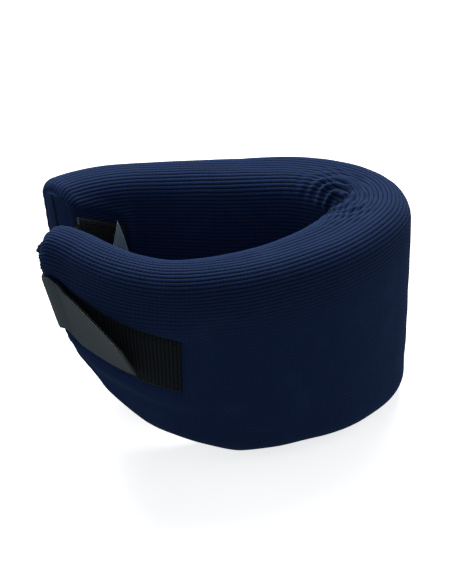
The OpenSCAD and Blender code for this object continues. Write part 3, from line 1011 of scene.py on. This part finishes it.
def looseCorner():
    t = np.linspace(0, 1, corner["rows"])[:, None]
    w = np.linspace(-1, 1, corner["columns"])[None, :]
    s = totalLength - corner["apex"] + (corner["skew"] - w * corner["width"] / 2) * t
    z = corner["apexHeight"] - corner["drop"] * t + 0.002 * w * t
    inner = float(thicknessAt(totalLength)) / 2 + tape["layerGap"] + tapeThickness
    # it is folded up from the band's lower edge, and stands away from it in between
    stand = corner["stand"] * np.sin(math.pi * (0.25 + 0.75 * t)) + corner["curl"] * w ** 2 * t * (1 - t)
    here = placeAt(s, -(inner + stand + corner["gap"]), z)
    outwards = surfaceNormals(here, False)
    outwards[0] = outwards[1]  # the apex is one point, and has no direction of its own
    outwards *= -np.sign(outwards[corner["rows"] // 2, corner["columns"] // 2, 1])
    half = corner["thickness"] / 2
    widths = w * corner["width"] / 2 * t + 0.5
    # the corner takes the lighter copy of the tape, as painted light
    piece = tapeMesh("tapeLooseCorner", here, outwards, t * corner["drop"] + 0 * w, widths,
                     -half, half, [litTapeMaterial])
    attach(piece, "far_half")


looseCorner()
print("tape made")


stitch = {"length": 0.0022, "thickness": 0.0005, "pitch": 0.0032, "edge": 0.0018, "sides": 8, "cuts": 5}


def stitchTemplate():
    # one stitch lying along z, its ends drawn down into the cloth
    bm = bmesh.new()
    length, radius = stitch["length"], stitch["thickness"] / 2
    bmesh.ops.create_cone(bm, cap_ends=True, segments=stitch["sides"], radius1=radius, radius2=radius,
                          depth=length)
    sides = [e for e in bm.edges if abs(e.verts[0].co.z - e.verts[1].co.z) > length / 2]
    bmesh.ops.subdivide_edges(bm, edges=sides, cuts=stitch["cuts"], use_grid_fill=True)
    for v in bm.verts:
        along = 2 * v.co.z / length
        thin = math.sqrt(max(0.08, 1 - along ** 6))
        v.co = (v.co.x * thin, v.co.y * thin - radius * 1.6 * along ** 4, v.co.z)
    mesh = bpy.data.meshes.new("stitchTemplate")
    bm.to_mesh(mesh)
    bm.free()
    return mesh


def stitchAt(bm, template, start, end, out):
    first = len(bm.verts)
    bm.from_mesh(template)
    bm.verts.ensure_lookup_table()
    along = Vector(end - start).normalized()
    up = Vector(out).normalized()
    side = up.cross(along).normalized()
    frameOf = Matrix((side, along.cross(side), along)).transposed()
    middle = Vector((start + end) / 2)
    for v in bm.verts[first:]:
        v.co = middle + frameOf @ v.co


def stitchRun(name, s0, s1, side, gap, lift, body, node):
    # a line of stitches round a sewn band; side is 1 on the collar's outer face, -1 inside
    bm = bmesh.new()
    template = stitchTemplate()
    width = tape["width"]
    halfStitch = stitch["length"] / 2
    rows = math.floor((width - 2 * stitch["edge"]) / stitch["pitch"])
    columns = math.floor((s1 - s0 - 2 * stitch["edge"]) / stitch["pitch"])

    def outFrom(s):
        return side * (float(thicknessAt(s)) / 2 + gap + stitch["thickness"] / 2)

    def spot(s, z):
        return placeAt(s, outFrom(s), z)

    def sew(s, z, ds, dz):
        out = side * outwardAt(s, outFrom(s), z)
        stitchAt(bm, template, spot(s - ds, z - dz), spot(s + ds, z + dz), out)

    for k in range(columns + 1):
        s = (s0 + s1) / 2 + (k - columns / 2) * stitch["pitch"]
        for up in (-1, 1):
            z = float(tapeLineAt(s)) + lift + up * (width / 2 - stitch["edge"])
            sew(s, z, halfStitch, 0)
    for k in range(1, rows):
        for s in (s0 + stitch["edge"], s1 - stitch["edge"]):
            z = float(tapeLineAt(s)) + lift + (k - rows / 2) * stitch["pitch"]
            sew(s, z, 0, halfStitch)
    uvLayer = bm.loops.layers.uv.new("cloth")
    for f in bm.faces:
        for loop in f.loops:
            loop[uvLayer].uv = (loop.vert.co.x + loop.vert.co.z, loop.vert.co.y * 100)
    bpy.data.meshes.remove(template)
    piece = finishPiece(name, bm, [threadMaterial])
    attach(piece, body)
    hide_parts(node)


stitchRun("loopPatchStitches", patch["start"], patch["start"] + patch["length"], 1,
          patch["thickness"] - 0.00035, 0, "near_half", "loop_patch_stitching")
stitchRun("tapeSewnEndStitches", anchorS - tape["sewn"], anchorS - 2 * stitch["edge"], -1,
          tape["layerGap"] + tapeThickness - 0.0001, tape["rise"] - tape["drop"],
          "far_half", "strap_anchor_stitching")
print("stitches made")

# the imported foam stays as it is, out of sight in the cover
for name in ("foam_core_near", "foam_core_far"):
    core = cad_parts[name]
    core.data.materials.clear()
    core.data.materials.append(foamMaterial)


# The camera is aimed at the target, then turned a little by yaw and pitch.
view = {
    "elevation": 34.28, "distance": 1.060, "lens": 142.04, "sensor": 36,
    "target": (0.0815, 0.0254, 0.053), "yaw": 0.5518, "pitch": 0.0977,
}


def placeCamera():
    data = bpy.data.cameras.new("camera")
    data.lens, data.sensor_width = view["lens"], view["sensor"]
    data.clip_start, data.clip_end = 0.05, 20
    camera = bpy.data.objects.new("camera", data)
    bpy.context.scene.collection.objects.link(camera)
    lift = math.radians(view["elevation"])
    target = Vector(view["target"]) + Vector(originShift)
    place = target + view["distance"] * Vector((0, -math.cos(lift), math.sin(lift)))
    camera.matrix_world = (Matrix.Translation(place) @ Matrix.Rotation(math.pi / 2 - lift, 4, "X")
                           @ Matrix.Rotation(math.radians(view["yaw"]), 4, "Y")
                           @ Matrix.Rotation(math.radians(view["pitch"]), 4, "X"))
    bpy.context.scene.camera = camera


# where each lamp stands, what it points at, its size, power and colour
lamps = {
    "topSoftbox": ((-0.12, 0.68, 1.0), (0, 0, 0.06), 0.95, 17.5, (1.0, 0.98, 0.95)),
    "leftCard": ((-1.1, -0.15, 0.55), (0, 0, 0.05), 0.9, 2.0, (0.92, 0.96, 1.0)),
    "rightCard": ((1.15, 0.45, 0.5), (0, 0, 0.05), 0.9, 3.0, (0.92, 0.96, 1.0)),
    "frontFill": ((0.2, -1.3, 0.5), (0, 0, 0.05), 1.2, 1.35, (0.95, 0.95, 1.0)),
}
sky = {"lit": ((0.85, 0.92, 1.0, 1), 0.16), "seen": ((1, 1, 1, 1), 0.95)}


def lightStudio():
    for name, (place, aim, size, power, colour) in lamps.items():
        data = bpy.data.lights.new(name, "AREA")
        data.size, data.energy, data.color = size, power, colour
        lamp = bpy.data.objects.new(name, data)
        bpy.context.scene.collection.objects.link(lamp)
        lamp.location = place
        lamp.rotation_euler = (Vector(aim) - Vector(place)).to_track_quat("-Z", "Y").to_euler()
    world = bpy.data.worlds.new("studio")
    bpy.context.scene.world = world
    world.use_nodes = True
    nodes, links = world.node_tree.nodes, world.node_tree.links
    # a dim sky lights the collar, and the camera sees a white one
    lit, seen = nodes["Background"], nodes.new("ShaderNodeBackground")
    for background, (colour, power) in ((lit, sky["lit"]), (seen, sky["seen"])):
        background.inputs[0].default_value = colour
        background.inputs[1].default_value = power
    ray, pick = nodes.new("ShaderNodeLightPath"), nodes.new("ShaderNodeMixShader")
    links.new(ray.outputs["Is Camera Ray"], pick.inputs[0])
    links.new(lit.outputs[0], pick.inputs[1])
    links.new(seen.outputs[0], pick.inputs[2])
    links.new(pick.outputs[0], nodes["World Output"].inputs[0])


def layFloor():
    bm = bmesh.new()
    bmesh.ops.create_circle(bm, cap_ends=True, segments=64, radius=floorLook["radius"])
    mesh = bpy.data.meshes.new("floor")
    bm.to_mesh(mesh)
    bm.free()
    floor = bpy.data.objects.new("floor", mesh)
    floor.data.materials.append(paleFloor())
    floor.data.transform(Matrix.Translation((0, 0, -floorLook["below"])))
    floor.visible_diffuse = False
    floor.visible_glossy = False
    bpy.context.scene.collection.objects.link(floor)


placeCamera()
lightStudio()
layFloor()
bpy.context.scene.view_settings.view_transform = "Standard"
print("studio ready")
